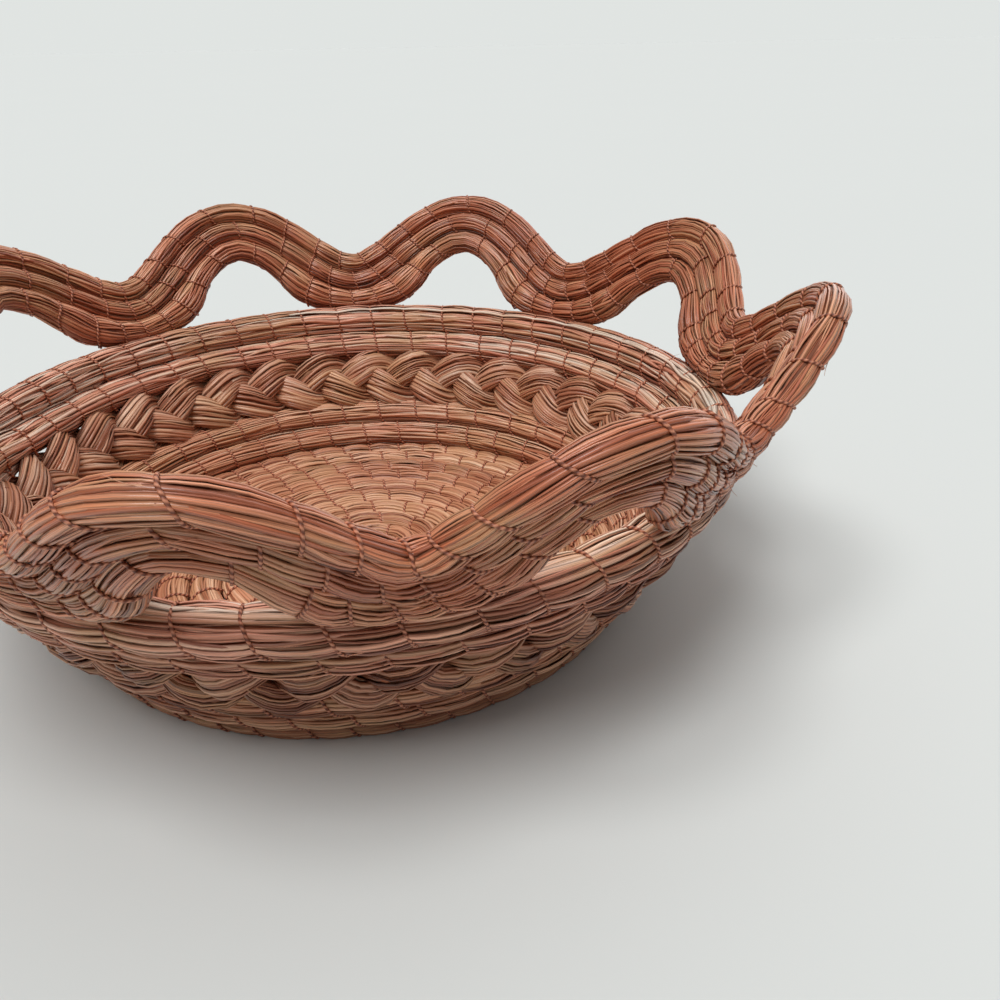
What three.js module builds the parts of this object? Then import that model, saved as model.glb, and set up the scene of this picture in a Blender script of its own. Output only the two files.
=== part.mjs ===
import * as THREE from "three";

// A coiled pine needle basket: a spiral floor, a flared wall with a braided row, and a border of waves.
// Millimetres, +Z up. The origin is on the resting face, under the middle of the floor.

// Thickness of the needle bundles
const floorCord = 6.8;
const wallCord = 7.8;
const neckCord = 9.0;
const rimCord = 10.0;
const waveCord = 6.4;
const rowGap = 0.6; // left between rows that are stitched together
const waveGap = 0.8; // the same in the border, whose bends are tight

// Floor and wall
const floorRadius = 78.8; // to the middle of the floor's outermost row
const eyeRadius = 4.2; // of the curl that the floor is started on
const eyeShift = 6; // from the floor's middle to that curl
const flatShare = 0.1; // of the floor's bundle, pressed flat where it rests
const wallFlare = 31.5; // degrees from upright
const seamBearing = -135; // degrees, where rows begin, step up and end
const stepShare = 1 / 6; // of a turn, taken by the step from one row to the next
const tipRadius = 0.9; // left at the end of a tapered bundle

// Braided row
const braidTall = 17.4;
const strandWide = 5.2;
const strandDeep = 4.4;
const plaitCount = 11; // times that each strand weaves over and back on its way round
const plaitGap = 1.6; // between two strands at the middle of their crossing
const weaveFlatness = 0.1; // share of a third harmonic, which keeps crossing strands apart longer
const buttGap = 1.2; // left between the two ends of a strand

// Border of waves
const waveRise = 23.5; // from trough to crest, along the border
const troughGap = 0.15; // left between the rim and the troughs that stand on it
const troughFill = 8; // clear height over the rim by which the low row's bulge dies away
const fillRamp = 1 / 36; // of a turn, over which the bulging starts and stops beside the steps
const borderFlare = 30; // degrees from upright
const crestBearings = [-163.5, -128.5, -93.5, -58.5, -12.5, 30.5, 75, 117.5, 161]; // degrees, spaced by hand

// How finely a bundle is drawn
const cordSides = 6;
const floorSteps = 24; // to a turn
const wallSteps = 36; // to a turn
const plaitSteps = 10; // to a weave
const waveSteps = 14; // to a wave

// Colours of the dried needles
const coilColors = { floor_coil: 0xb98a5c, wall_coil: 0xa06a4a, rim_coil: 0xa56c4d, wave_coil: 0xa9704f };
const strandColors = { a: 0x9c6a4c, b: 0xa87a58, c: 0x8f5c42 };
const needleRoughness = 0.62;

const radians = THREE.MathUtils.degToRad;
const turn = 2 * Math.PI;
const up = new THREE.Vector3(0, 0, 1);
const smooth = (share) => THREE.MathUtils.smoothstep(share, 0, 1);

// Rows are counted along the slope of the wall, from the floor's outermost row
const firstRow = floorCord / 2 + rowGap + wallCord / 2;
const secondRow = firstRow + wallCord + rowGap;
const braidRow = secondRow + wallCord / 2 + rowGap + braidTall / 2;
const neckRow = braidRow + braidTall / 2 + rowGap + neckCord / 2;
const rimRow = neckRow + neckCord / 2 + rowGap + rimCord / 2;
const floorLift = floorCord * (0.5 - flatShare);

// Rows of the border are counted along its own slope, from the rim's middle
const wavePitch = waveCord + waveGap;
const waveFoot = rimCord / 2 + troughGap + waveCord / 2;
const crestTurns = crestBearings.map((bearing) => radians(bearing - crestBearings[0]));

function outwardAt(angle) {
  return new THREE.Vector3(Math.cos(angle), Math.sin(angle), 0);
}

// A place on a flared slope: so far up it at this angle
function onSlope({ radius, height, flare }, angle, climb) {
  const point = outwardAt(angle).multiplyScalar(radius + climb * Math.sin(flare));
  point.z = height + climb * Math.cos(flare);
  const across = outwardAt(angle).multiplyScalar(Math.sin(flare));
  return { point, across: across.addScaledVector(up, Math.cos(flare)) };
}

// The wall leans out from the floor's outermost row, and the border from the rim
const wall = { radius: floorRadius, height: floorLift, flare: radians(wallFlare) };
const onWall = (angle, climb) => onSlope(wall, angle, climb);
const rim = onWall(0, rimRow).point;
const border = { radius: rim.x, height: rim.z, flare: radians(borderFlare) };

// The waves' middle row climbs and falls as a cosine, whose phase is a whole turn from each
// crest to the next
function waveClimb(angle) {
  const turned = THREE.MathUtils.euclideanModulo(angle - radians(crestBearings[0]), turn);
  const wave = crestTurns.findLastIndex((crest) => crest <= turned);
  const [from, to] = [crestTurns[wave], crestTurns[wave + 1] ?? turn];
  const phase = (turn * (turned - from)) / (to - from);
  return waveFoot + wavePitch + (waveRise * (1 + Math.cos(phase))) / 2;
}

// A place on the border that lies square to the waves' middle row, this far from it. The bulge
// is how far the low row thickens towards the rim where it starts to climb away from it.
function onWaves(angle, offset) {
  const nudge = 1e-4;
  const climb = waveClimb(angle);
  const along = onSlope(border, 0, climb).point.x;
  const rise = (waveClimb(angle + nudge) - waveClimb(angle - nudge)) / (2 * nudge);
  const length = Math.hypot(along, rise);
  const turned = angle - (offset * rise) / length / along;
  const station = onSlope(border, turned, climb + (offset * along) / length);
  station.across.multiplyScalar(along / length);
  station.across.addScaledVector(outwardAt(turned + turn / 4), -rise / length);
  const clear = climb - waveFoot - wavePitch;
  return { ...station, bulge: clear * Math.exp(-((clear / troughFill) ** 2)) };
}

// Stations of a coil that runs level on each row and steps up to the next. Its two ends taper
// into the wedges that the steps leave below and above them, and its first row may bulge down.
function windRows(rows, stepsPerTurn, place) {
  const last = rows.length - 1;
  const gap = rows[1].centre - rows[1].radius - rows[0].centre - rows[0].radius;
  const levelAt = (from, share) => ({
    centre: THREE.MathUtils.lerp(rows[from].centre, rows[from + 1].centre, smooth(share)),
    radius: THREE.MathUtils.lerp(rows[from].radius, rows[from + 1].radius, smooth(share)),
  });
  function rowAt(turns) {
    if (turns < 0) {
      const step = levelAt(0, 1 + turns / stepShare);
      const foot = rows[0].centre - rows[0].radius;
      const radius = (step.centre - step.radius - gap - foot) / 2;
      return { centre: foot + radius, radius };
    }
    if (turns > last + 1 - stepShare) {
      const step = levelAt(last - 1, 1 + (turns - last - 1) / stepShare);
      const head = rows[last].centre + rows[last].radius;
      const radius = (head - step.centre - step.radius - gap) / 2;
      return { centre: head - radius, radius };
    }
    const whole = Math.min(Math.floor(turns), last);
    const share = (turns - whole - 1) / stepShare + 1;
    return share > 0 && whole < last ? levelAt(whole, share) : rows[whole];
  }
  const stations = [];
  const lead = Math.ceil(stepShare * stepsPerTurn);
  for (let step = -lead; step <= rows.length * stepsPerTurn; step += 1) {
    const turns = step / stepsPerTurn;
    const { centre, radius } = rowAt(turns);
    if (turns < -stepShare || radius < tipRadius) continue;
    const { point, across, bulge = 0 } = place(radians(seamBearing) + turns * turn, centre);
    const halfBulge = (bulge * smooth(Math.min(turns, 1 - stepShare - turns) / fillRamp)) / 2;
    point.addScaledVector(across, -halfBulge);
    stations.push({ point, across, wide: radius + halfBulge, deep: radius });
  }
  return stations;
}

// Stations of the floor's spiral. Its outer rows lie on circles joined by steps, so the wall has
// a level row to stand on, and its inner rows are a plain spiral round the shifted eye.
function windFloor() {
  const pitch = (floorCord + rowGap) / (1 - eyeShift / floorRadius);
  const rowCount = (floorRadius - eyeRadius) / pitch;
  const stations = [];
  const stepCount = Math.floor(rowCount * floorSteps);
  for (let step = stepCount; step >= 0; step -= 1) {
    const rowsLeft = step / floorSteps;
    const whole = Math.max(Math.floor(rowsLeft), 1);
    const stepped = whole - 1 + (rowsLeft > 1 ? smooth((rowsLeft - whole) / stepShare) : 0);
    const roundness = THREE.MathUtils.clamp((rowCount - rowsLeft) / (rowCount - 1), 0, 1);
    const inward = THREE.MathUtils.lerp(rowsLeft, stepped, roundness) * pitch;
    let radius = floorCord / 2;
    let reach = floorRadius - inward;
    if (rowsLeft < stepShare) {
      const share = 1 - rowsLeft / stepShare;
      const filled = THREE.MathUtils.lerp(pitch, 0, smooth(share));
      radius = (filled - (pitch - floorCord)) / 2;
      reach = floorRadius + floorCord / 2 - radius;
    }
    if (radius < tipRadius) continue;
    const angle = radians(seamBearing) - rowsLeft * turn;
    const across = outwardAt(angle);
    const point = across.clone().multiplyScalar(reach);
    point.x += eyeShift * (1 - reach / floorRadius);
    point.z = radius * (1 - 2 * flatShare);
    stations.push({ point, across, wide: radius, deep: radius, level: true });
  }
  return stations;
}

// Stations of one braid strand, which swings up and down the wall and weaves in and out of it,
// outermost halfway up on its way to the top
function weaveStrand(lag) {
  const swing = (braidTall - strandWide) / 2;
  const weave = (strandDeep + plaitGap) / (2 * Math.sin(turn / 6));
  const stepCount = plaitCount * plaitSteps;
  const butt = buttGap / 2 / onWall(0, braidRow).point.x;
  const stations = [];
  for (let step = 0; step <= stepCount; step += 1) {
    const share = step / stepCount;
    const angle = radians(seamBearing) + THREE.MathUtils.lerp(butt, turn - butt, share);
    const phase = plaitCount * share * turn + lag;
    const station = onWall(angle, braidRow + swing * Math.sin(phase));
    const outward = outwardAt(angle + turn / 4).cross(station.across);
    const depth = weave * (Math.sin(2 * phase) + weaveFlatness * Math.sin(6 * phase));
    station.point.addScaledVector(outward, depth);
    stations.push({ ...station, wide: strandWide / 2, deep: strandDeep / 2 });
  }
  return stations;
}

// Corners of a bundle's section on the unit circle. The flat one has its lowest side where the
// bundle is pressed flat.
function roundSection() {
  return Array.from({ length: cordSides }, (_, side) => (side * turn) / cordSides);
}

function flatSection() {
  const half = Math.acos(1 - 2 * flatShare);
  const down = (3 * turn) / 4;
  const upperHalf = roundSection().slice(0, cordSides / 2 + 1);
  return [...upperHalf, down - half, down + half];
}

// Axes of the section at each station: across the rows, and square to that and to the bundle.
// A level bundle keeps its section upright, so that its pressed side stays in one plane.
function framesOf(stations) {
  return stations.map((station, i) => {
    const before = stations[Math.max(i - 1, 0)].point;
    const after = stations[Math.min(i + 1, stations.length - 1)].point;
    const along = after.clone().sub(before);
    if (station.level) along.z = 0;
    along.normalize();
    const across = station.across.clone();
    across.addScaledVector(along, -across.dot(along)).normalize();
    return { across, inward: across.clone().cross(along) };
  });
}

// One closed tube through the stations, with a flat cap at each end
function bundle(name, stations, section, material) {
  const frames = framesOf(stations);
  const corners = section.length;
  const positions = [];
  const faces = [];
  stations.forEach(({ point, wide, deep }, i) => {
    for (const corner of section) {
      const place = point.clone();
      place.addScaledVector(frames[i].across, wide * Math.cos(corner));
      place.addScaledVector(frames[i].inward, deep * Math.sin(corner));
      positions.push(place.x, place.y, place.z);
    }
  });
  for (let ring = 0; ring < stations.length - 1; ring += 1) {
    for (let side = 0; side < corners; side += 1) {
      const here = ring * corners + side;
      const beside = ring * corners + ((side + 1) % corners);
      faces.push(here, here + corners, beside + corners);
      faces.push(here, beside + corners, beside);
    }
  }
  const end = (stations.length - 1) * corners;
  for (let side = 1; side < corners - 1; side += 1) {
    faces.push(0, side, side + 1);
    faces.push(end, end + side + 1, end + side);
  }
  const geometry = new THREE.BufferGeometry();
  geometry.setAttribute("position", new THREE.Float32BufferAttribute(positions, 3));
  geometry.setIndex(faces);
  geometry.computeVertexNormals();
  const mesh = new THREE.Mesh(geometry, material);
  mesh.name = name;
  return mesh;
}

// The least gap of a coil to its own other rows: from each point of its surface to each stretch
// that lies more than a few thicknesses away along the coil
function ownGap(mesh, stations) {
  const farAlong = 3;
  const place = mesh.geometry.getAttribute("position");
  const corners = place.count / stations.length;
  const corner = new THREE.Vector3();
  const stretch = new THREE.Line3();
  const nearest = new THREE.Vector3();
  let travelled = 0;
  const walked = stations.map(({ point }, i) => {
    travelled += i ? point.distanceTo(stations[i - 1].point) : 0;
    return travelled;
  });
  let least = Infinity;
  for (let spot = 0; spot < place.count; spot += 1) {
    const here = Math.floor(spot / corners);
    corner.fromBufferAttribute(place, spot);
    for (let j = 1; j < stations.length; j += 1) {
      const [from, to] = [stations[j - 1], stations[j]];
      const apart = Math.max(walked[j - 1] - walked[here], walked[here] - walked[j]);
      if (apart < farAlong * (from.wide + stations[here].wide)) continue;
      stretch.set(from.point, to.point);
      const share = stretch.closestPointToPointParameter(corner, true);
      const thick = THREE.MathUtils.lerp(from.wide, to.wide, share);
      least = Math.min(least, stretch.at(share, nearest).distanceTo(corner) - thick);
    }
  }
  return least;
}

// The least gap between two strands, on points of their surfaces
function gapBetween(meshA, meshB) {
  const pointsOf = (mesh) => {
    const place = mesh.geometry.getAttribute("position");
    const pointAt = (_, i) => new THREE.Vector3().fromBufferAttribute(place, i);
    return Array.from({ length: place.count }, pointAt);
  };
  const others = pointsOf(meshB);
  let least = Infinity;
  for (const point of pointsOf(meshA)) {
    for (const other of others) least = Math.min(least, point.distanceTo(other));
  }
  return least;
}

function needleLook(color) {
  return new THREE.MeshStandardMaterial({ color, roughness: needleRoughness, metalness: 0 });
}

function rowOf(centre, cord) {
  return { centre, radius: cord / 2 };
}

const coils = {
  floor_coil: windFloor(),
  wall_coil: windRows([rowOf(firstRow, wallCord), rowOf(secondRow, wallCord)], wallSteps, onWall),
  rim_coil: windRows([rowOf(neckRow, neckCord), rowOf(rimRow, rimCord)], wallSteps, onWall),
  wave_coil: windRows(
    [rowOf(-wavePitch, waveCord), rowOf(0, waveCord), rowOf(wavePitch, waveCord)],
    crestBearings.length * waveSteps,
    onWaves,
  ),
};
const basket = new THREE.Group();
basket.name = "pine_needle_basket";
for (const [name, stations] of Object.entries(coils)) {
  const section = name === "floor_coil" ? flatSection() : roundSection();
  const coil = bundle(name, stations, section, needleLook(coilColors[name]));
  console.log(`${name}: least gap to itself ${ownGap(coil, stations).toFixed(2)} mm`);
  basket.add(coil);
}

const strands = Object.entries(strandColors).map(([letter, color], i) => {
  const stations = weaveStrand((i * turn) / 3);
  return bundle(`braid_strand_${letter}`, stations, roundSection(), needleLook(color));
});
basket.add(...strands);
strands.forEach((strand, i) => {
  const next = strands[(i + 1) % strands.length];
  console.log(`${strand.name} to ${next.name}: ${gapBetween(strand, next).toFixed(2)} mm between points`);
});

export default basket;
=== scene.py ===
import math

import bpy
import numpy as np
from mathutils import Matrix, Vector


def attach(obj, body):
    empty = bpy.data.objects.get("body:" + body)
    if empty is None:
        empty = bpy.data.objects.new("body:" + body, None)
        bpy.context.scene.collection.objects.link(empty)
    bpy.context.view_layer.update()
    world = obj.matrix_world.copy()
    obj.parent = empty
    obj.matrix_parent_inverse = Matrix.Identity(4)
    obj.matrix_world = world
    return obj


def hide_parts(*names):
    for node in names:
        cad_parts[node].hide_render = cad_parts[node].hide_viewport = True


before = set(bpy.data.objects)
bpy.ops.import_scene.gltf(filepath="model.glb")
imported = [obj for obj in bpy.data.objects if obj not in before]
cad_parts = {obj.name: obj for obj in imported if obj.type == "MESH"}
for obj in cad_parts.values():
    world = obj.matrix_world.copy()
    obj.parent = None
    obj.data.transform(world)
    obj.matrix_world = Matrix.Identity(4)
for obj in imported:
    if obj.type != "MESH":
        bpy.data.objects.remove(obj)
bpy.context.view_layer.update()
print("frame loaded:", ", ".join(sorted(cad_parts)))

turn = 2 * np.pi
radians = math.radians
nudge = 1e-4  # step over which a slope is measured
courseSteps = 12000  # points on the polyline along which a course's length is summed

# The basket's shape, in metres and degrees, as the CAD model has it
basket = {
    "floorCord": 0.0068,
    "wallCord": 0.0078,
    "neckCord": 0.0090,
    "rimCord": 0.0100,
    "waveCord": 0.0064,
    "rowGap": 0.0006,  # between rows of the floor and the wall
    "waveGap": 0.0008,  # between rows of the border
    "floorRadius": 0.0788,  # to the middle of the floor's outermost row
    "eyeRadius": 0.0042,  # of the curl that the floor starts on
    "eyeShift": 0.006,
    "flatShare": 0.1,  # of the floor's bundle, pressed flat where it rests
    "wallFlare": 31.5,
    "seamBearing": -135,  # where rows begin, step up and end
    "stepShare": 1 / 6,  # of a turn, taken by a step from row to row
    "tipRadius": 0.0009,  # where a tapered end is cut off
    "braidTall": 0.0174,
    "plaitCount": 11,  # times that a strand swings up and down
    "waveRise": 0.0235,  # from trough to crest
    "troughGap": 0.00015,  # between the rim and the border's low row
    "troughFill": 0.008,  # clear height over the rim by which the low row's bulge dies away
    "fillRamp": 1 / 36,  # of a turn beside the seam, over which that bulge comes in
    "borderFlare": 30,
    "crestBearings": [-163.5, -128.5, -93.5, -58.5, -12.5, 30.5, 75, 117.5, 161],
}


# Small helpers on whole arrays

def smooth(share):
    # 3x^2 - 2x^3 from 0 to 1, and level before and after
    x = np.clip(share, 0, 1)
    return x * x * (3 - 2 * x)


def lerp(a, b, share):
    return a + (b - a) * share


def unit(vectors):
    return vectors / np.maximum(np.linalg.norm(vectors, axis=-1, keepdims=True), 1e-12)


def dot(a, b):
    return np.sum(a * b, axis=-1, keepdims=True)


def stack(x, y, z):
    return np.stack(np.broadcast_arrays(x, y, z), axis=-1)


def hold(table, where):
    # for each column of table a smooth curve through its values, one at each whole number
    low = np.clip(np.floor(where).astype(int), 0, len(table) - 2)
    columns = np.arange(table.shape[1])
    return lerp(table[low, columns], table[low + 1, columns], smooth(where - low))


# Where the rows lie, counted along the wall's slope from the floor's outermost row

gap = basket["rowGap"]
firstRow = basket["floorCord"] / 2 + gap + basket["wallCord"] / 2
secondRow = firstRow + basket["wallCord"] + gap
braidRow = secondRow + basket["wallCord"] / 2 + gap + basket["braidTall"] / 2
neckRow = braidRow + basket["braidTall"] / 2 + gap + basket["neckCord"] / 2
rimRow = neckRow + basket["neckCord"] / 2 + gap + basket["rimCord"] / 2
floorLift = basket["floorCord"] * (0.5 - basket["flatShare"])
wavePitch = basket["waveCord"] + basket["waveGap"]
waveFoot = basket["rimCord"] / 2 + basket["troughGap"] + basket["waveCord"] / 2
wallFlare = radians(basket["wallFlare"])
borderFlare = radians(basket["borderFlare"])
rimRadius = basket["floorRadius"] + rimRow * np.sin(wallFlare)
rimHeight = floorLift + rimRow * np.cos(wallFlare)
seam = radians(basket["seamBearing"])


def onSlope(radius, height, flare, angle, climb):
    # a cone: radius and height grow with climb by the sine and cosine of its flare
    reach = radius + climb * np.sin(flare)
    point = stack(reach * np.cos(angle), reach * np.sin(angle), height + climb * np.cos(flare))
    across = stack(np.sin(flare) * np.cos(angle), np.sin(flare) * np.sin(angle), np.cos(flare))
    return point, across


def onWall(angle, climb):
    # the wall leans out from the floor's outermost row, and nothing on it bulges
    return *onSlope(basket["floorRadius"], floorLift, wallFlare, angle, climb), 0


def wavePhase(angle):
    # a whole turn from each crest to the next, even between the two
    crests = np.radians(basket["crestBearings"])
    marks = np.append(crests, crests[0] + turn) - crests[0]
    rounds = np.floor((angle - crests[0]) / turn)
    turned = angle - crests[0] - rounds * turn
    return turn * (np.interp(turned, marks, np.arange(len(marks))) + rounds * len(crests))


def waveClimb(angle):
    # a cosine from trough to crest
    return waveFoot + wavePitch + basket["waveRise"] * (1 + np.cos(wavePhase(angle))) / 2


def onWaves(angle, offset):
    # the wave of the middle row, moved square to itself by offset; the low row bulges down to the
    # rim by c exp(-c^2 / f^2), c its clear height over the rim and f the height of that fill
    climb = waveClimb(angle)
    along = rimRadius + climb * np.sin(borderFlare)
    rise = (waveClimb(angle + nudge) - waveClimb(angle - nudge)) / (2 * nudge)
    length = np.hypot(along, rise)
    turned = angle - offset * rise / length / along
    climbed = climb + offset * along / length
    point, slope = onSlope(rimRadius, rimHeight, borderFlare, turned, climbed)
    around = stack(-np.sin(turned), np.cos(turned), 0)
    across = slope * (along / length)[..., None] - around * (rise / length)[..., None]
    clear = climb - waveFoot - wavePitch
    return point, across, clear * np.exp(-(clear / basket["troughFill"]) ** 2)


def rowsAt(turns, rows):
    # level along each row, a smooth step before each whole turn, and tapered ends in the wedges
    last = len(rows) - 1
    share = basket["stepShare"]
    between = rows[1, 0] - rows[1, 1] - rows[0, 0] - rows[0, 1]

    def levelAt(start, part):
        return lerp(rows[start], rows[np.minimum(start + 1, last)], smooth(part)[..., None])

    whole = np.clip(np.floor(turns), 0, last).astype(int)
    level = levelAt(whole, (turns - whole - 1) / share + 1)
    centre, radius = level[..., 0], level[..., 1]
    below = levelAt(np.zeros_like(whole), 1 + turns / share)
    foot = rows[0, 0] - rows[0, 1]
    early = (below[..., 0] - below[..., 1] - between - foot) / 2
    above = levelAt(np.full_like(whole, last - 1), 1 + (turns - last - 1) / share)
    head = rows[last, 0] + rows[last, 1]
    late = (head - above[..., 0] - above[..., 1] - between) / 2
    ending = turns > last + 1 - share
    radius = np.where(turns < 0, early, np.where(ending, late, radius))
    centre = np.where(turns < 0, foot + early, np.where(ending, head - late, centre))
    return centre, radius


# Each bundle is thicker here than in the CAD model, so that neighbouring rows press together
touch = {
    "across": 0.00022,
    "out": 0.00045,
    "waveOut": 0.00075,
}


def rowCourse(rows, place, fuller):
    # rows are pairs of a centre and a cord's thickness; a bundle of radius r with a bulge b into
    # the gap below is r + b/2 + plump wide and r + b/4 + fuller deep, measured from its middle
    rows = np.array([(centre, cord / 2) for centre, cord in rows])
    share = basket["stepShare"]
    plump = (rows[1, 0] - rows[1, 1] - rows[0, 0] - rows[0, 1]) / 2 + touch["across"]

    def placeAt(turns):
        centre, radius = rowsAt(turns, rows)
        point, across, bulge = place(seam + turns * turn, centre)
        half = bulge * smooth(np.minimum(turns, 1 - share - turns) / basket["fillRamp"]) / 2
        point = point - across * (half * np.ones_like(turns))[..., None]
        return point, across, radius + half + plump, radius + half * 0.5 + fuller
    return makeCourse(placeAt, -share, len(rows))


floorPitch = (basket["floorCord"] + gap) / (1 - basket["eyeShift"] / basket["floorRadius"])
floorRows = (basket["floorRadius"] - basket["eyeRadius"]) / floorPitch


# The floor's first needles curl in thinly and close the hole in the middle
curl = {
    "reach": 0.0013,  # from the eye's middle
    "radius": 0.0015,
    "lift": 0.0016,  # over the floor
}


def floorPlace(turns):
    # rows left to the rim of the floor count down; outer rows are circles joined by steps, inner
    # ones a plain spiral round the shifted eye, with one more turn that thins into the curl
    cord = basket["floorCord"]
    share = basket["stepShare"]
    rowsLeft = np.maximum(-turns, 0)
    whole = np.maximum(np.floor(rowsLeft), 1)
    stepped = whole - 1 + np.where(rowsLeft > 1, smooth((rowsLeft - whole) / share), 0)
    roundness = np.clip((floorRows - rowsLeft) / (floorRows - 1), 0, 1)
    reach = basket["floorRadius"] - lerp(rowsLeft, stepped, roundness) * floorPitch
    filled = lerp(floorPitch, 0, smooth(1 - rowsLeft / share))
    tapering = rowsLeft < share
    radius = np.where(tapering, (filled - (floorPitch - cord)) / 2, cord / 2)
    reach = np.where(tapering, basket["floorRadius"] + cord / 2 - radius, reach)
    inward = np.clip(rowsLeft - floorRows, 0, 1)
    reach = np.where(inward > 0, lerp(basket["eyeRadius"], curl["reach"], inward), reach)
    radius = lerp(radius, curl["radius"], smooth(inward))
    angle = seam + turns * turn
    shift = basket["eyeShift"] * (1 - reach / basket["floorRadius"])
    lift = radius * (1 - 2 * basket["flatShare"]) + curl["lift"] * inward
    point = stack(reach * np.cos(angle) + shift, reach * np.sin(angle), lift)
    across = stack(np.cos(angle), np.sin(angle), 0)
    # rows lie further apart on the side that the eye is shifted away from
    apart = floorPitch * (1 - basket["eyeShift"] / basket["floorRadius"] * np.cos(angle)) - cord
    plump = lerp(gap, apart, smooth(rowsLeft)) / 2 + touch["across"]
    return point, across, radius + plump, radius + touch["out"]


# One strand of the braid swings up and down the wall and weaves in and out of it
braid = {
    "wide": 0.0114,
    "narrowing": 0.1,  # share of its width that it loses where it turns back at an edge
    "deep": 0.0056,
    "weave": 0.0032,  # how far it goes in and out at a crossing
    "flatness": 0.05,
    "sharpness": 0.04,  # of its turns at the edges, as a share of the third harmonic
    "overlap": 0.0032,  # into the rows above and below
    "butt": 0.0012,  # left between a strand's two ends
}


def strandCourse(lag):
    # climb follows the sine of the weave's phase less some of its third harmonic, which sharpens
    # the turns; depth follows the sine of twice that phase, outermost between the middle and
    # the edge that comes next, with a little of the sine of six times it
    swing = (basket["braidTall"] - braid["wide"] * (1 - braid["narrowing"])) / 2 + braid["overlap"]
    butt = braid["butt"] / 2 / onWall(0, braidRow)[0][0]

    def placeAt(share):
        angle = seam + lerp(butt, turn - butt, share)
        phase = basket["plaitCount"] * share * turn + lag
        swung = (np.sin(phase) - braid["sharpness"] * np.sin(3 * phase)) / (1 + braid["sharpness"])
        point, across, _ = onWall(angle, braidRow + swing * swung)
        outward = np.cross(stack(-np.sin(angle), np.cos(angle), 0), across)
        depth = braid["weave"] * (np.sin(2 * phase) + braid["flatness"] * np.sin(6 * phase))
        wide = braid["wide"] / 2 * (1 - braid["narrowing"] * np.sin(phase) ** 2)
        deep = np.full_like(share, braid["deep"] / 2)
        return point + outward * depth[..., None], across, wide, deep
    return makeCourse(placeAt, 0, 1)


def makeCourse(placeAt, start, end):
    # length is summed along a fine polyline, without the tips thinner than a tapered end
    turns = np.linspace(start, end, courseSteps)
    point, _, wide, _ = placeAt(turns)
    kept = np.flatnonzero(wide >= basket["tipRadius"])
    turns, point = turns[kept[0]:kept[-1] + 1], point[kept[0]:kept[-1] + 1]
    steps = np.linalg.norm(np.diff(point, axis=0), axis=1)
    return {"placeAt": placeAt, "turns": turns, "length": np.concatenate([[0], np.cumsum(steps)])}


def courseAt(course, distance):
    # frame of the bundle: along it, across the rows, and out of the basket square to both
    turns = np.interp(distance, course["length"], course["turns"])
    point, across, wide, deep = course["placeAt"](turns)
    along = unit(course["placeAt"](turns + nudge)[0] - course["placeAt"](turns - nudge)[0])
    across = unit(across - along * dot(across, along))
    out = np.cross(along, across)
    return {"point": point, "along": along, "across": across, "out": out,
            "wide": wide, "deep": deep}


# Sewing: one stitch goes once round the bundle, leaning forward on its way down the outside
stitch = {
    "spacing": 0.0138,
    "floorSpacing": 0.0108,
    "jitter": 0.0013,
    "outsideLean": 0.0052,  # along the bundle, from its top to where the thread goes under
    "insideLean": 0.0022,
    "under": 145,  # degrees from the top, where the thread goes under
    "thread": 0.00038,  # half the thread's thickness
    "proud": 0.00028,  # how far its middle stands off the needles it lies on
    "dip": 0.0012,  # how deep the thread bites into the row below
    "pinchPower": 0.75,  # the less, the narrower its pinch
    "edgePinch": 0.4,  # share of a stitch's pinch that shows across the rows
    "ply": 0.0013,  # length of thread from one ply to the next
    "rings": 18,  # rings of the thread's mesh to a stitch
    "corners": 6,
}


def evenBeats(course, rng, spacing):
    # places of the stitches: even steps, each strayed a little
    count = int(round(course["length"][-1] / spacing))
    beats = np.linspace(0, course["length"][-1], count + 1)
    beats[1:-1] += rng.uniform(-1, 1, count - 1) * stitch["jitter"]
    return beats


def waveBeats(course, rng, look):
    # stitches crowd at the troughs: the step from one to the next goes from the crest's to the
    # trough's by ((1 - cos p) / 2)^e, p being the phase from a crest
    phase = wavePhase(seam + course["turns"] * turn)
    nearTrough = ((1 - np.cos(phase)) / 2) ** look["crowding"]
    spacing = lerp(look["crestSpacing"], look["troughSpacing"], nearTrough)
    count = np.concatenate([[0], np.cumsum(np.diff(course["length"]) / spacing[1:])])
    whole = math.floor(count[-1])
    beats = np.interp(np.arange(whole + 1) * count[-1] / whole, count, course["length"])
    beats[1:-1] += (rng.uniform(-1, 1, len(beats)) * np.gradient(beats) * look["stray"])[1:-1]
    return beats


def leanAt(theta):
    # how far along the bundle a stitch has got at this angle round its section: evenly from
    # nothing at the top to its lean where the thread goes under
    past = (np.pi / 2 - theta + np.pi) % turn - np.pi
    lean = np.where(past > 0, stitch["outsideLean"], stitch["insideLean"])
    return past / radians(stitch["under"]) * lean


def pinchAt(beat):
    # 1 - |sin(pi b)|^power at beat b: 1 at a stitch, 0 halfway to the next and steep beside it
    return 1 - np.abs(np.sin(np.pi * beat)) ** stitch["pinchPower"]


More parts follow.
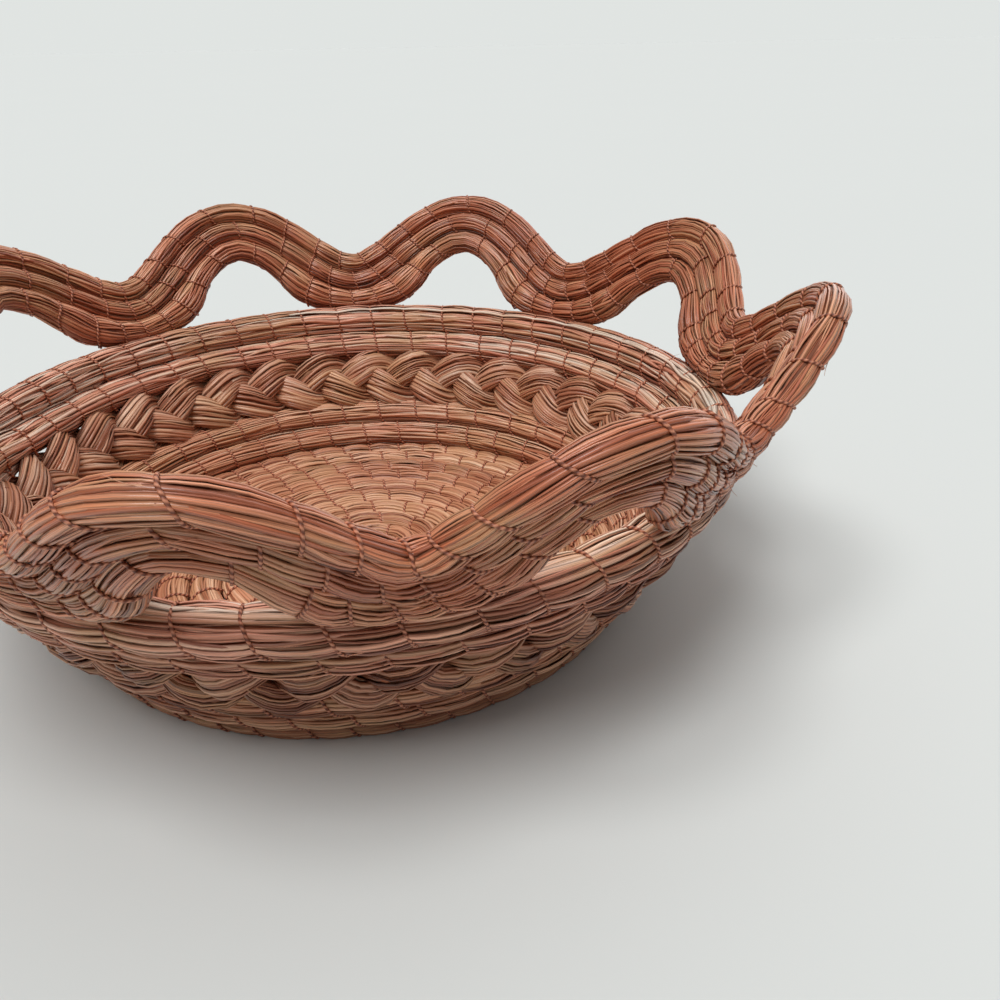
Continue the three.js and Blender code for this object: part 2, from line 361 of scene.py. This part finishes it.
def putTubes(name, rings, across, along, tone):
    # closed tubes side by side: rings is (ring, tube, corner, xyz), tone one number a ring and tube
    ringCount, tubeCount, corners, _ = rings.shape
    index = np.arange(ringCount * tubeCount * corners).reshape(ringCount, tubeCount, corners)
    beside = np.roll(index, -1, axis=2)
    sides = np.stack([index[:-1], beside[:-1], beside[1:], index[1:]], axis=-1).reshape(-1, 4)
    ends = np.concatenate([index[0, :, ::-1], index[-1]])
    mesh = bpy.data.meshes.new(name)
    mesh.vertices.add(index.size)
    mesh.vertices.foreach_set("co", rings.astype(np.float32).ravel())
    corner = np.concatenate([sides.ravel(), ends.ravel()])
    mesh.loops.add(len(corner))
    mesh.loops.foreach_set("vertex_index", corner.astype(np.int32))
    endStarts = sides.size + np.arange(len(ends)) * corners
    starts = np.concatenate([np.arange(len(sides)) * 4, endStarts])
    mesh.polygons.add(len(starts))
    mesh.polygons.foreach_set("loop_start", starts.astype(np.int32))
    mesh.update(calc_edges=True)
    mesh.shade_smooth()

    # the map's first number is metres along the tube, its second goes across
    along = np.broadcast_to(along[..., None], index.shape)
    nextAcross = np.append(across[1:], across[0])
    low = np.broadcast_to(across, index.shape)
    high = np.broadcast_to(nextAcross, index.shape)
    u = np.stack([along[:-1], along[:-1], along[1:], along[1:]], axis=-1)
    v = np.stack([low[:-1], high[:-1], high[1:], low[1:]], axis=-1)
    endMap = np.stack([along.ravel()[ends], low.ravel()[ends]], axis=-1)
    lay = mesh.uv_layers.new(name="lay")
    values = np.concatenate([np.stack([u, v], axis=-1).reshape(-1, 2), endMap.reshape(-1, 2)])
    lay.data.foreach_set("uv", values.astype(np.float32).ravel())
    tones = mesh.attributes.new("tone", "FLOAT", "POINT")
    tones.data.foreach_set("value", np.repeat(tone.ravel(), corners).astype(np.float32))
    piece = bpy.data.objects.new(name, mesh)
    bpy.context.scene.collection.objects.link(piece)
    return piece


# A bundle's outer needles, drawn one by one over a core dark with painted shade
needle = {
    "corners": [(0.5, 0.0), (0.0, 0.44), (-0.5, 0.0), (0.0, -0.5)],  # in widths and depths
    "acrossMap": [1.0, 0.5, 0.0, -0.5],
    "depth": 0.00064,
    "overlap": 1.6,  # needle width over its share of the bundle's girth
    "widthStray": 0.5,
    "wander": 0.48,  # sideways, in shares of a needle's width
    "bow": 0.00010,  # how far a needle bows out or sinks between stitches
    "lie": 0.00017,  # how much higher or lower one needle lies than the next
    "runLow": 8,  # stitches that one needle runs for
    "runHigh": 18,
    "endDip": 0.0006,
    "endLength": 0.55,  # in stitches
    "endWidth": 0.45,  # at its very tip, as a share of its full width
    "sunk": 0.4,  # how far its middle lies inside the bundle's outline, in depths
    "thinBelow": 0.8,  # half-width of a tip, in needle depths, below which its needles get thinner
    "toneShape": 2.0,  # of the beta distribution that tones are drawn from
    "places": [0, 0.12, 0.34, 0.64, 0.88],  # rings between one stitch and the next
}


def layNeedles(name, course, beats, look, first, last):
    # needle i follows the bundle at the angle i/count of a turn round its section, out at the
    # bundle's half-thickness, swelling between stitches and pinched in at them
    count = look["needles"]
    rng = np.random.default_rng(look["seed"])
    places = (np.arange(first, last)[:, None] + np.array(needle["places"])).ravel()
    places = np.append(places, last)[:, None]
    tableShape = (len(beats) + 2, count)
    column = np.arange(count)

    # its angle strays smoothly from stitch to stitch
    stray = hold(rng.normal(0, 1, tableShape), np.broadcast_to(places, (len(places), count)))
    steady = column * turn / count
    theta = steady + needle["wander"] * look["unruly"] * stray * turn / count

    # each needle ends after some stitches, dips under, and another comes up in its place
    run = rng.uniform(needle["runLow"], needle["runHigh"], count)
    ran = places / run + rng.uniform(0, 1, count)
    which = np.floor(ran).astype(int)
    endShare = smooth(np.minimum(ran - which, which + 1 - ran) * run / needle["endLength"])
    runs = (int(len(beats) / needle["runLow"]) + 3, count)
    tone = rng.beta(needle["toneShape"], needle["toneShape"], runs)[which, column]
    # painted light and shade: tone + k cos(theta - w), palest on the side w that light falls on
    lightShift = look["paintedLight"] * np.cos(steady - radians(look["paintedLightSide"]))
    tone = np.clip(tone + lightShift, 0, 1)
    lie = rng.normal(0, 1, runs)[which, column] * needle["lie"] * look["unruly"]
    widths = 1 + needle["widthStray"] * look["unruly"] * rng.uniform(-1, 1, runs)[which, column]

    interval = np.clip(np.floor(places).astype(int), 0, len(beats) - 1)
    bow = rng.normal(0, 1, tableShape)[interval, column]
    beat = places - np.floor(places)
    free = np.sin(np.pi * beat)
    distance = np.interp(places, np.arange(len(beats)), beats) + leanAt(steady) * look["lean"]
    distance = np.clip(distance, 0, course["length"][-1])
    at = courseAt(course, distance)
    size = np.minimum(at["wide"] / (needle["thinBelow"] * needle["depth"]), 1)
    # rows stay pressed together at a stitch, so it pinches them mostly from the side
    squeeze = look["swell"] * free - look["pinch"] * pinchAt(beat)
    bowed = needle["bow"] * look["unruly"] * bow * free
    loose = (bowed + lie - needle["endDip"] * (1 - endShare)) * size
    sunk = needle["depth"] * needle["sunk"] * size
    up = (at["wide"] * (1 + squeeze * stitch["edgePinch"]) + loose - sunk) * np.sin(theta)
    outward = (at["deep"] * (1 + squeeze) + loose - sunk) * np.cos(theta)
    middle = at["point"] + at["across"] * up[..., None] + at["out"] * outward[..., None]
    lift = unit(at["across"] * (np.sin(theta) / at["wide"])[..., None]
                + at["out"] * (np.cos(theta) / at["deep"])[..., None])
    side = np.cross(lift, at["along"])

    # girth of an ellipse of half-widths a and b, nearly pi (3(a + b) - sqrt((3a + b)(a + 3b)))
    a, b = at["wide"], at["deep"]
    girth = np.pi * (3 * (a + b) - np.sqrt((3 * a + b) * (a + 3 * b)))
    width = girth / count * needle["overlap"] * widths * lerp(needle["endWidth"], 1, endShare)
    corners = np.array(needle["corners"])
    aside = width[..., None] * corners[:, 0]
    raised = needle["depth"] * size[..., None] * corners[:, 1]
    offset = side[:, :, None] * aside[..., None] + lift[:, :, None] * raised[..., None]
    rings = pressed(middle[:, :, None] + offset)
    return putTubes(name, rings, np.array(needle["acrossMap"]), distance, tone)


def pressed(rings):
    # nothing goes below the face that the basket rests on
    rings[..., 2] = np.maximum(rings[..., 2], 0)
    return rings


core = {
    "corners": 16,
    "deep": 0.85,  # share of the bundle's depth
    "wide": 0.95,
    "slimmer": 0.00022,  # taken off the half-width on top of that
    # dark: painted shade in the gaps between the outer needles
    "tone": 0.1,
}


def layCore(name, course, beats):
    # a tube inside the needles, dark as painted shade in the gaps between them, so that nothing
    # shines through between them: two rings to a stitch, and in a section of half-widths w and d
    # its own are w (wide - slimmer / w) and d (deep - slimmer / w)
    distance = np.interp(np.arange(0, len(beats) - 0.5, 0.5), np.arange(len(beats)), beats)
    at = courseAt(course, distance)
    corners = core["corners"]
    theta = -np.arange(corners) * turn / corners
    less = core["slimmer"] / at["wide"]
    wide, deep = at["wide"] * (core["wide"] - less), at["deep"] * (core["deep"] - less)
    up = at["across"][:, None] * (wide[:, None] * np.cos(theta))[..., None]
    outward = at["out"][:, None] * (deep[:, None] * np.sin(theta))[..., None]
    rings = (at["point"][:, None] + up + outward)[:, None]
    tone = np.full(rings.shape[:2], core["tone"])
    return putTubes(name, pressed(rings), np.linspace(0, 1, corners), distance[:, None], tone)


def sewThread(name, course, beats, look):
    # one thread wound round the bundle: down the outside, on under it and up the inside, standing
    # off the pinched bundle by proud, and by dip more where it bites into the row below
    past = np.linspace(-np.pi, np.pi, stitch["rings"], endpoint=False)
    under = radians(stitch["under"])
    stitches = beats[1:-1, None]
    spot = stitches + leanAt(np.pi / 2 - np.clip(past, -under, under))
    # below the bundle the thread runs on to where the next stitch comes up
    step = np.gradient(beats)[1:-1, None]
    down, back = leanAt(np.pi / 2 - under), leanAt(np.pi / 2 + under)
    meeting = (down + step + back) / 2
    beyond = np.clip((np.abs(past) - under) / (np.pi - under), 0, 1)
    goal = stitches + np.where(past > 0, meeting, meeting - step)
    distance = np.clip(lerp(spot, goal, beyond), 0, course["length"][-1])
    at = courseAt(course, distance)
    theta = np.pi / 2 - past
    bite = look["bite"](course, distance) * smooth(beyond)
    reach = stitch["proud"] + stitch["dip"] * bite
    up = (at["wide"] * (1 - look["pinch"] * stitch["edgePinch"]) + reach) * np.sin(theta)
    outward = (at["deep"] * (1 - look["pinch"]) + reach) * np.cos(theta)
    path = at["point"] + at["across"] * up[..., None] + at["out"] * outward[..., None]
    lift = unit(at["across"] * np.sin(theta)[..., None] + at["out"] * np.cos(theta)[..., None])
    return tubeAlong(name, path.reshape(-1, 3), lift.reshape(-1, 3))


def biteAlways(course, distance):
    # every stitch of a plain row is sewn to the row below
    return np.ones_like(distance)


def biteWhereItRests(course, distance):
    # the border's lowest row is sewn to the rim only where it rests on it
    turns = np.interp(distance, course["length"], course["turns"])
    clear = waveClimb(seam + turns * turn) - waveFoot - wavePitch
    return np.where(turns < 1 - basket["stepShare"], smooth(1 - clear / basket["troughFill"]), 1)


def tubeAlong(name, path, lift):
    # the thread as a round tube on a path, its section square to the path and turned to lift
    corners = stitch["corners"]
    tangent = unit(np.gradient(path, axis=0))
    side = unit(np.cross(lift, tangent))
    lift = np.cross(tangent, side)
    theta = np.arange(corners) * turn / corners
    ring = side[:, None] * np.cos(theta)[:, None] + lift[:, None] * np.sin(theta)[:, None]
    rings = pressed((path[:, None] + ring * stitch["thread"])[:, None])
    steps = np.linalg.norm(np.diff(path, axis=0), axis=1)
    length = np.concatenate([[0], np.cumsum(steps)])[:, None]
    return putTubes(name, rings, np.arange(corners) / corners, length, np.zeros_like(length))


# Materials

class Wire:
    # a socket that adds Math nodes when it is used in an expression
    def __init__(self, shader, socket):
        self.shader = shader
        self.socket = socket

    def math(self, operation, *values):
        return self.shader.node("ShaderNodeMath", {"operation": operation}, dict(enumerate(values)))

    def __add__(self, other):
        return self.math("ADD", self, other)

    def __radd__(self, other):
        return self.math("ADD", other, self)

    def __sub__(self, other):
        return self.math("SUBTRACT", self, other)

    def __rsub__(self, other):
        return self.math("SUBTRACT", other, self)

    def __mul__(self, other):
        return self.math("MULTIPLY", self, other)

    def __rmul__(self, other):
        return self.math("MULTIPLY", other, self)

    def __truediv__(self, other):
        return self.math("DIVIDE", self, other)

    def __pow__(self, other):
        return self.math("POWER", self, other)

    def sine(self):
        return self.math("SINE", self)

    def atLeast(self, other):
        return self.math("MAXIMUM", self, other)

    def atMost(self, other):
        return self.math("MINIMUM", self, other)


class Shader:
    # the nodes of a material or a world, made one at a time
    def __init__(self, owner):
        owner.use_nodes = True
        self.owner = owner
        self.tree = owner.node_tree
        self.tree.nodes.clear()

    def node(self, kind, settings=None, sockets=None, output=0):
        made = self.tree.nodes.new(kind)
        for key, value in (settings or {}).items():
            if key == "stops":
                self.setStops(made.color_ramp, value)
            else:
                setattr(made, key, value)
        for key, value in (sockets or {}).items():
            if isinstance(value, Wire):
                self.tree.links.new(value.socket, made.inputs[key])
            else:
                made.inputs[key].default_value = value
        return Wire(self, made.outputs[output]) if made.outputs else None

    def setStops(self, ramp, stops):
        while len(ramp.elements) < len(stops):
            ramp.elements.new(1)
        for element, (position, color) in zip(ramp.elements, stops):
            element.position = position
            element.color = (*color, 1)

    def place(self):
        # the piece's own coordinates, in metres
        return self.node("ShaderNodeTexCoord", {}, {}, 3)

    def vector(self, x, y, z):
        return self.node("ShaderNodeCombineXYZ", {}, {0: x, 1: y, 2: z})

    def noise(self, vector, scale, detail=2):
        sockets = {"Vector": vector, "Scale": scale, "Detail": detail}
        return self.node("ShaderNodeTexNoise", {"noise_dimensions": "3D"}, sockets)

    def mixed(self, factor, first, second):
        sockets = {0: factor, 6: first, 7: second}
        return self.node("ShaderNodeMix", {"data_type": "RGBA"}, sockets, 2)

    def tinted(self, color, factor):
        # a colour times a number, as a vector
        sockets = {0: color, "Scale": factor}
        return self.node("ShaderNodeVectorMath", {"operation": "SCALE"}, sockets)

    def finish(self, sockets):
        surface = self.node("ShaderNodeBsdfPrincipled", {}, sockets)
        self.node("ShaderNodeOutputMaterial", {}, {"Surface": surface})
        return self.owner


def layMap(shader):
    # metres along and the share across, from the piece's own map
    mapped = shader.node("ShaderNodeUVMap", {"uv_map": "lay"})
    along = shader.node("ShaderNodeSeparateXYZ", {}, {0: mapped})
    return along, Wire(shader, along.socket.node.outputs[1])


needleStops = [
    (0.00, (0.090, 0.022, 0.009)),
    (0.14, (0.270, 0.075, 0.033)),
    (0.36, (0.520, 0.175, 0.084)),
    (0.58, (0.700, 0.285, 0.150)),
    (0.80, (0.820, 0.420, 0.250)),
    (1.00, (0.880, 0.590, 0.400)),
]
needleSkin = {
    # a piece's own scale of the stops partly paints the light and shade on its part of the basket
    "tintAndLight": (1.0, 1.0, 1.0),  # scales the red, green and blue of the stops
    "palest": 0.92,  # no channel goes above this
    "spread": 0.78,  # from the dark needles to the pale ones
    "apart": 57.0,  # how far a whole step of tone moves a needle in the noise
    "drift": 0.35,  # change of tone along a needle
    "driftScale": 34.0,
    "driftAcross": 0.5,
    "mottle": 0.30,  # change of tone from place to place on the basket
    "mottleScale": 45.0,
    "edge": 0.5,  # brightness of a needle's edges: painted shade between needles
    "edgePower": 0.55,
    "streaks": 2.2,
    "streakScale": 45.0,
    "streakAcross": 9.0,
    "meanShine": 0.96,
    "ripe": (0.660, 0.345, 0.170),  # the tan that some needles turn
    "ripeLow": 0.4,  # its brightness in the darkest needles
    "ripeRise": 0.9,  # and what the palest have more
    "ripeApart": 1.7,
    "ripeScale": 9.0,
    "ripeFrom": 0.47,
    "ripeness": 5.0,
    "ripest": 0.75,
    "grainScale": 260.0,
    "grainHeight": 0.0002,
    "grainStrength": 0.35,
    "roughness": 0.4,
    "roughStreak": 0.3,
    "ior": 1.42,
    "gloss": 0.3,  # of the waxy coat
    "coatRoughness": 0.22,
}


def needleMaterial(name, changes):
    # dried needles: each has its own tone, faint streaks along it and edges darkened as painted
    # shade between needles; every noise is read at the place along and across the needle, moved by
    # its tone so that no two look alike
    look = {**needleSkin, **changes}
    stops = [(at, tuple(np.minimum(np.multiply(color, look["tintAndLight"]), look["palest"])))
             for at, color in needleStops]
    shader = Shader(bpy.data.materials.new(name))
    along, across = layMap(shader)
    tone = shader.node("ShaderNodeAttribute", {"attribute_name": "tone"}, {}, 2)
    own = tone * look["apart"]
    weft = own + across * look["streakAcross"]
    drifting = shader.vector(along * look["driftScale"], own, across * look["driftAcross"])
    drift = shader.noise(drifting, 1.0, 2)
    streak = shader.noise(shader.vector(along * look["streakScale"], weft, 3.0), 1.0, 3)
    mottle = shader.noise(shader.place(), look["mottleScale"], 2)
    shade = tone * look["spread"] + (1 - look["spread"]) * 0.5
    shade = shade + (drift - 0.5) * look["drift"] + (mottle - 0.5) * look["mottle"]
    color = shader.node("ShaderNodeValToRGB", {"stops": stops}, {"Fac": shade})
    ripening = shader.vector(along * look["ripeScale"], own * look["ripeApart"], 5.0)
    ripe = shader.noise(ripening, 1.0, 1)
    ripe = ((ripe + mottle) * 0.5 - look["ripeFrom"]).atLeast(0.0) * look["ripeness"]
    tan = shader.tinted(look["ripe"], look["ripeLow"] + shade * look["ripeRise"])
    color = shader.mixed(ripe.atMost(look["ripest"]), color, tan)
    # darker towards a needle's sides: painted shade between neighbouring needles
    edge = (across * np.pi).sine().atLeast(0.0) ** look["edgePower"]
    shine = (streak - 0.5) * look["streaks"] + look["meanShine"]
    color = shader.tinted(color, (look["edge"] + edge * (1 - look["edge"])) * shine)
    grain = shader.noise(shader.vector(along * look["grainScale"], weft, 7.0), 1.0, 2)
    bumps = {"Strength": look["grainStrength"], "Distance": look["grainHeight"], "Height": grain}
    return shader.finish({
        "Base Color": color,
        "Roughness": look["roughness"] + (streak - 0.5) * look["roughStreak"],
        "Normal": shader.node("ShaderNodeBump", {}, bumps),
        "IOR": look["ior"],
        "Coat Weight": look["gloss"],
        "Coat Roughness": look["coatRoughness"],
    })


threadSkin = {
    "pitch": stitch["ply"],
    "fuzzScale": 700.0,
    "fuzzAcross": 4.0,
    "mottleScale": 60.0,
    "plyShare": 0.6,  # of the tone: painted shade in the plies' grooves, the rest being mottle
    "grooveHeight": 0.00025,
    "grooveStrength": 0.8,
    "groovePower": 0.6,  # the less, the narrower the grooves
    "fuzzHeight": 0.15,
    "roughness": 0.5,
    "roughFuzz": 0.2,
    "stops": [
        (0.10, (0.110, 0.028, 0.013)),
        (0.45, (0.360, 0.108, 0.054)),
        (0.90, (0.740, 0.310, 0.180)),
    ],
}


def threadMaterial(name, look):
    # two plies laid round each other: slanting bands, painted shade in the grooves between them
    shader = Shader(bpy.data.materials.new(name))
    along, across = layMap(shader)
    band = ((along / look["pitch"] + across) * np.pi).sine()
    # dark between the plies: painted shade, and the grooves' height for the bump
    ply = band * band
    fuzzed = shader.vector(along * look["fuzzScale"], across * look["fuzzAcross"], 1.0)
    fuzz = shader.noise(fuzzed, 1.0, 2)
    mottle = shader.noise(shader.place(), look["mottleScale"], 2)
    shade = ply * look["plyShare"] + mottle * (1 - look["plyShare"])
    height = ply ** look["groovePower"] + fuzz * look["fuzzHeight"]
    bumps = {"Strength": look["grooveStrength"], "Distance": look["grooveHeight"], "Height": height}
    return shader.finish({
        "Base Color": shader.node("ShaderNodeValToRGB", {"stops": look["stops"]}, {"Fac": shade}),
        "Roughness": look["roughness"] + (fuzz - 0.5) * look["roughFuzz"],
        "Normal": shader.node("ShaderNodeBump", {}, bumps),
    })


# the core's needles are drawn with its dark tone: painted shade
coreMaterial = needleMaterial("inner needles", {"mottle": 0.1, "roughness": 0.7, "gloss": 0.0})
threadMade = threadMaterial("sewing thread", threadSkin)
print("shared materials made")


def dress(piece, material, slot, *nodes):
    piece.data.materials.append(material)
    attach(piece, "root")
    if nodes:
        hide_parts(*nodes)
    print(piece.name, len(piece.data.polygons), "faces")


def dressCoil(name, slot, course, beats, look, material):
    # the needles in equal parts, the core inside them and the thread round them
    ends = np.linspace(0, len(beats) - 1, look["parts"] + 1).astype(int)
    for part, (first, last) in enumerate(zip(ends, ends[1:])):
        piece = layNeedles(f"{name}_needles_{part + 1}", course, beats, look, first, last)
        dress(piece, material, slot, f"{name}_coil")
    dress(layCore(f"{name}_core", course, beats), coreMaterial, slot)
    dress(sewThread(f"{name}_thread", course, beats, look), threadMade, "stitch_thread")


rng = np.random.default_rng(11)  # for the stitches' places and the loose fibres

# What sewn bundles have in common, unless a piece's own dictionary says otherwise
biting = {
    "pinch": 0.12,  # share of the bundle's half-thickness that a stitch presses in
    "swell": 0.03,  # and that it stands out between two stitches
    "lean": 1,  # how far a needle's rings slant with the stitches
    "unruly": 1,  # scales how far needles stray and differ
    "bite": biteAlways,
    "paintedLight": 0,  # painted light: needles paler on the lit side, darker opposite
    "paintedLightSide": 150,  # degrees from outside by way of the top
}

# Floor

floorLook = {
    **biting,
    "pinch": 0.16,
    "swell": 0.06,
    "unruly": 0.5,
    "needles": 36,
    "seed": 12,
    "parts": 2,
    "skin": {"tintAndLight": (1.04, 1.20, 1.27), "edge": 0.8, "streaks": 0.8},
}
course = makeCourse(floorPlace, -floorRows - 1, 0)
beats = evenBeats(course, rng, stitch["floorSpacing"])
material = needleMaterial("floor needles", floorLook["skin"])
dressCoil("floor", "floor_needles", course, beats, floorLook, material)

# Wall

wallLook = {
    **biting,
    "needles": 42,
    "seed": 21,
    "parts": 1,
    "paintedLight": 0.16,
    "skin": {"tintAndLight": (1.04, 1.12, 1.20)},
}
wallRows = [(firstRow, basket["wallCord"]), (secondRow, basket["wallCord"])]
course = rowCourse(wallRows, onWall, touch["out"])
beats = evenBeats(course, rng, stitch["spacing"])
material = needleMaterial("wall needles", wallLook["skin"])
dressCoil("wall", "wall_needles", course, beats, wallLook, material)

# Braid

braidLook = {
    "needles": 38,
    "pinch": 0,
    "swell": 0,
    "lean": 0,
    "unruly": 1,
    "beats": 60,
    "paintedLight": 0.16,
    "paintedLightSide": 170,
    "skin": {"tintAndLight": (0.90, 0.97, 1.06), "edge": 0.56, "streaks": 1.7},
}
material = needleMaterial("plaited needles", braidLook["skin"])
for number, letter in enumerate("abc"):
    course = strandCourse(number * turn / 3)
    beats = np.linspace(0, course["length"][-1], braidLook["beats"] + 1)
    look = {**braidLook, "seed": 31 + number}
    piece = layNeedles(f"braid_needles_{letter}", course, beats, look, 0, braidLook["beats"])
    dress(piece, material, "braid_needles", f"braid_strand_{letter}")
    dress(layCore(f"braid_core_{letter}", course, beats), coreMaterial, "braid_needles")

# Rim

rimLook = {
    **biting,
    "unruly": 1.25,
    "needles": 52,
    "seed": 41,
    "parts": 2,
    "paintedLight": 0.26,
    # stops brighter and paler: partly painted light and sheen on the rim
    "skin": {"tintAndLight": (1.30, 1.48, 1.86), "edge": 0.46},
}
rimRows = [(neckRow, basket["neckCord"]), (rimRow, basket["rimCord"])]
rimCourse = rowCourse(rimRows, onWall, touch["out"])
beats = evenBeats(rimCourse, rng, stitch["spacing"])
material = needleMaterial("rim needles", rimLook["skin"])
dressCoil("rim", "rim_needles", rimCourse, beats, rimLook, material)

# Border of waves

waveLook = {
    **biting,
    "pinch": 0.16,
    "swell": 0.04,
    "needles": 44,
    "seed": 51,
    "paintedLight": 0.16,
    "paintedLightSide": 105,
    "parts": 3,
    "bite": biteWhereItRests,
    "crestSpacing": 0.0172,
    "troughSpacing": 0.0086,
    "crowding": 0.8,
    "stray": 0.12,  # of a stitch, in shares of the step to the next
    # stops darker and redder: partly painted shade on the border
    "skin": {"tintAndLight": (0.98, 0.82, 0.77), "edge": 0.42, "streaks": 2.6, "gloss": 0.6},
}
waveRows = [(offset, basket["waveCord"]) for offset in (-wavePitch, 0, wavePitch)]
waveCourse = rowCourse(waveRows, onWaves, touch["waveOut"])
beats = waveBeats(waveCourse, rng, waveLook)
borderMaterial = needleMaterial("border needles", waveLook["skin"])
dressCoil("wave", "border_needles", waveCourse, beats, waveLook, borderMaterial)

# Loose fibres and needle tips that stand off the border and the rim

fibre = {
    "count": 60,  # on each of the two courses
    "starts": (0.02, 0.98),  # shares of the course between which they stand
    "length": (0.003, 0.010),
    "thick": (0.00010, 0.00026),
    "rise": (0.08, 0.50),  # of its length
    "sway": 0.15,
    "from": (-0.35, np.pi * 0.9),  # angles round the bundle, from outside by way of the top
    "rooted": 0.0003,  # depth at which it starts
    "rings": 7,
    "corners": 3,
    "taper": 0.75,
    "tones": (0.5, 1),
    "acrossMap": [0.3, 0.5, 0.7],
}


def sproutFibres(name, courses, rng):
    # each starts in the bundle, goes off along it, and rises and sways as parabolas: rise x^2
    # out of the bundle and sway x^2 sideways, x being the share of its length
    bases = []
    for course in courses:
        spots = rng.uniform(*fibre["starts"], fibre["count"]) * course["length"][-1]
        at = courseAt(course, spots)
        theta = rng.uniform(*fibre["from"], fibre["count"])
        lift = at["across"] * np.sin(theta)[:, None] + at["out"] * np.cos(theta)[:, None]
        middle = at["point"] + lift * (at["deep"] - fibre["rooted"])[:, None]
        bases.append((middle, at["along"] * rng.choice([-1, 1], fibre["count"])[:, None], lift))
    base, ahead, lift = (np.concatenate(parts) for parts in zip(*bases))
    count = len(base)
    length = rng.uniform(*fibre["length"], count)
    rise = rng.uniform(*fibre["rise"], count)
    sway = rng.normal(0, fibre["sway"], count)
    across = np.cross(lift, ahead)
    share = np.linspace(0, 1, fibre["rings"])[:, None]
    path = base + ahead * (share * length)[..., None]
    bend = lift * rise[:, None] + across * sway[:, None]
    path = path + bend * (share ** 2 * length)[..., None]
    tangent = unit(np.gradient(path, axis=0))
    side = unit(np.cross(tangent, lift))
    other = np.cross(side, tangent)
    thick = rng.uniform(*fibre["thick"], count) * (1 - fibre["taper"] * share)
    angle = np.arange(fibre["corners"]) * turn / fibre["corners"]
    ring = side[:, :, None] * np.cos(angle)[:, None] + other[:, :, None] * np.sin(angle)[:, None]
    rings = path[:, :, None] + ring * thick[:, :, None, None]
    tone = np.broadcast_to(rng.uniform(*fibre["tones"], count), thick.shape)
    return putTubes(name, pressed(rings), np.array(fibre["acrossMap"]), share * length, tone)


dress(sproutFibres("loose_fibres", [rimCourse, waveCourse], rng), borderMaterial, "border_needles")

# Studio: a pale floor that runs on to the horizon, a soft sky, a glow behind the basket and a wide
# lamp over the camera's left shoulder; an open floor comes out a little lighter than its colour

studio = {
    "floorColor": (0.70, 0.725, 0.71),
    "floorDip": 0.99,  # its darker patches, as a share of that
    "patchScale": 3.0,
    "farColor": (0.749, 0.776, 0.760),  # the lit floor's look, seen past its edge
    "floorSize": 40.0,
    "skyHigh": 0.75,  # overhead
    "skyLow": 0.03,  # at the horizon
    "skyFall": 2.4,
    "glowFrom": (0.34, 0.92, 0.20),
    "glow": 1.5,
    "glowFall": 4.0,
    "sunFrom": (-0.24, -0.36, 1.0),
    "sunStrength": 1.95,
    "sunAngle": 32,
}


def paleFloorMaterial(color):
    # a matt colour with hardly darker patches
    shader = Shader(bpy.data.materials.new("pale floor"))
    mottle = shader.noise(shader.place(), studio["patchScale"], 2)
    dipped = [channel * studio["floorDip"] for channel in color]
    base = shader.mixed(mottle, (*dipped, 1), (*color, 1))
    return shader.finish({"Base Color": base, "Roughness": 1.0, "Specular IOR Level": 0.0})


half = studio["floorSize"] / 2
mesh = bpy.data.meshes.new("studio_floor")
floorCorners = [(-half, -half, 0), (half, -half, 0), (half, half, 0), (-half, half, 0)]
mesh.from_pydata(floorCorners, [], [(0, 1, 2, 3)])
studioFloor = bpy.data.objects.new("studio_floor", mesh)
bpy.context.scene.collection.objects.link(studioFloor)
mesh.materials.append(paleFloorMaterial(studio["floorColor"]))


def skyWorld():
    # the sky's strength is low + (high - low) z^fall, and glow (d.g)^glowFall more round the way g
    # of the glow; past the floor the camera sees the far colour instead
    shader = Shader(bpy.data.worlds.new("sky"))
    ways = shader.node("ShaderNodeTexCoord")
    height = shader.node("ShaderNodeSeparateXYZ", {}, {0: ways}, 2).atLeast(0.0)
    toGlow = tuple(unit(np.array(studio["glowFrom"])))
    dot = {"operation": "DOT_PRODUCT"}
    facing = shader.node("ShaderNodeVectorMath", dot, {0: ways, 1: toGlow}, 1)
    span = studio["skyHigh"] - studio["skyLow"]
    strength = studio["skyLow"] + span * height ** studio["skyFall"]
    strength = strength + studio["glow"] * facing.atLeast(0.0) ** studio["glowFall"]
    sky = shader.node("ShaderNodeBackground", {}, {"Color": (1, 1, 1, 1), "Strength": strength})
    far = shader.node("ShaderNodeBackground", {}, {"Color": (*studio["farColor"], 1)})
    seen = shader.node("ShaderNodeLightPath")
    both = shader.node("ShaderNodeMixShader", {}, {0: seen, 1: sky, 2: far})
    shader.node("ShaderNodeOutputWorld", {}, {"Surface": both})
    return shader.owner


bpy.context.scene.world = skyWorld()

lamp = bpy.data.lights.new("soft_light", "SUN")
lamp.energy = studio["sunStrength"]
lamp.angle = radians(studio["sunAngle"])
holder = bpy.data.objects.new("soft_light", lamp)
bpy.context.scene.collection.objects.link(holder)
holder.rotation_euler = (-Vector(studio["sunFrom"])).to_track_quat("-Z", "Y").to_euler()

# Camera, where the photograph was taken from

view = {
    "place": (0.0439, -0.2487, 0.1477),
    "pitch": 26.99,  # below level
    "roll": -1.04,
    "lens": 32.7,
    "sensor": 36.0,
}
ahead = np.array([0, math.cos(radians(view["pitch"])), -math.sin(radians(view["pitch"]))])
rightward = np.array([1.0, 0, 0])
upward = np.cross(rightward, ahead)
roll = radians(view["roll"])
cameraX = rightward * math.cos(roll) + upward * math.sin(roll)
cameraY = upward * math.cos(roll) - rightward * math.sin(roll)
camera = bpy.data.objects.new("camera", bpy.data.cameras.new("camera"))
camera.data.lens = view["lens"]
camera.data.sensor_width = view["sensor"]
camera.data.clip_start = 0.01
columns = np.column_stack([cameraX, cameraY, -ahead, view["place"]])
camera.matrix_world = Matrix([*columns.tolist(), (0, 0, 0, 1)])
bpy.context.scene.collection.objects.link(camera)
bpy.context.scene.camera = camera
bpy.context.scene.view_settings.view_transform = "Standard"
